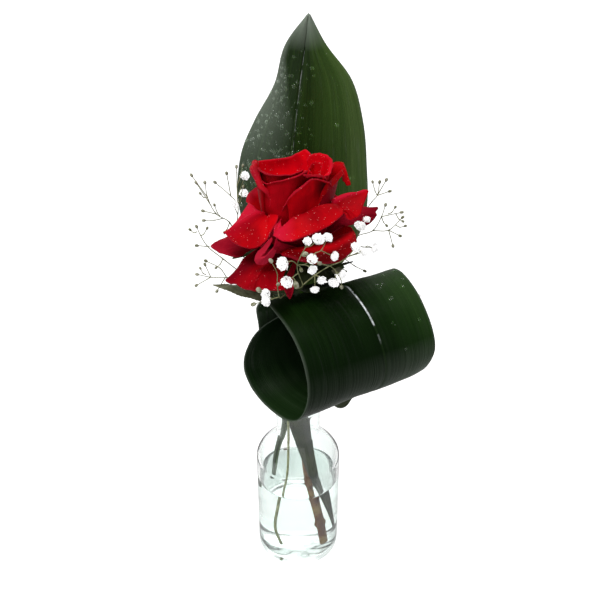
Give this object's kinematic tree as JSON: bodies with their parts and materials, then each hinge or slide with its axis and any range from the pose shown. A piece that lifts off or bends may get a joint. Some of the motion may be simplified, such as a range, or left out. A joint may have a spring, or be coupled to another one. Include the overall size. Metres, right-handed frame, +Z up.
{
  "type": "rose in a bud vase",
  "caption": "Open red rose in a small clear glass bottle of water, with an upright broad leaf, a rolled broad leaf and sprays of tiny white flowers.",
  "frame": {"origin": "centre of the bottle's flat base, on the surface it stands on", "axes": "+Z up along the bottle's axis, +X to the right and +Y to the back as the arrangement is looked at from its front"},
  "size_m": [0.1499, 0.1536, 0.4245],
  "materials": {
    "glass": "clear, faint green tint, polished",
    "water": "clear still water",
    "bark": "woody green-brown stem, rough",
    "petal": "velvety deep red",
    "sepal": "matt green",
    "rose_leaf": "satin olive green",
    "broad_leaf": "glossy dark green",
    "gypsophila": "matt pale green twigs, white flowers"
  },
  "bodies": {
    "root": {"bottle": "glass", "water": "water", "rose_stem": "bark", "petal_01": "petal", "petal_02": "petal", "petal_03": "petal", "petal_04": "petal", "petal_05": "petal", "petal_06": "petal", "petal_07": "petal", "petal_08": "petal", "petal_09": "petal", "petal_10": "petal", "petal_11": "petal", "petal_12": "petal", "petal_13": "petal", "petal_14": "petal", "petal_15": "petal", "petal_16": "petal", "petal_17": "petal", "petal_18": "petal", "petal_19": "petal", "petal_20": "petal", "petal_21": "petal", "petal_22": "petal", "petal_23": "petal", "petal_24": "petal", "petal_25": "petal", "sepal_1": "sepal", "sepal_2": "sepal", "sepal_3": "sepal", "sepal_4": "sepal", "sepal_5": "sepal", "rose_leaf_left": "rose_leaf", "rose_leaf_right": "rose_leaf", "rose_leaf_back": "rose_leaf", "upright_leaf": "broad_leaf", "rolled_leaf": "broad_leaf", "gypsophila": "gypsophila"}
  },
  "joints": []
}
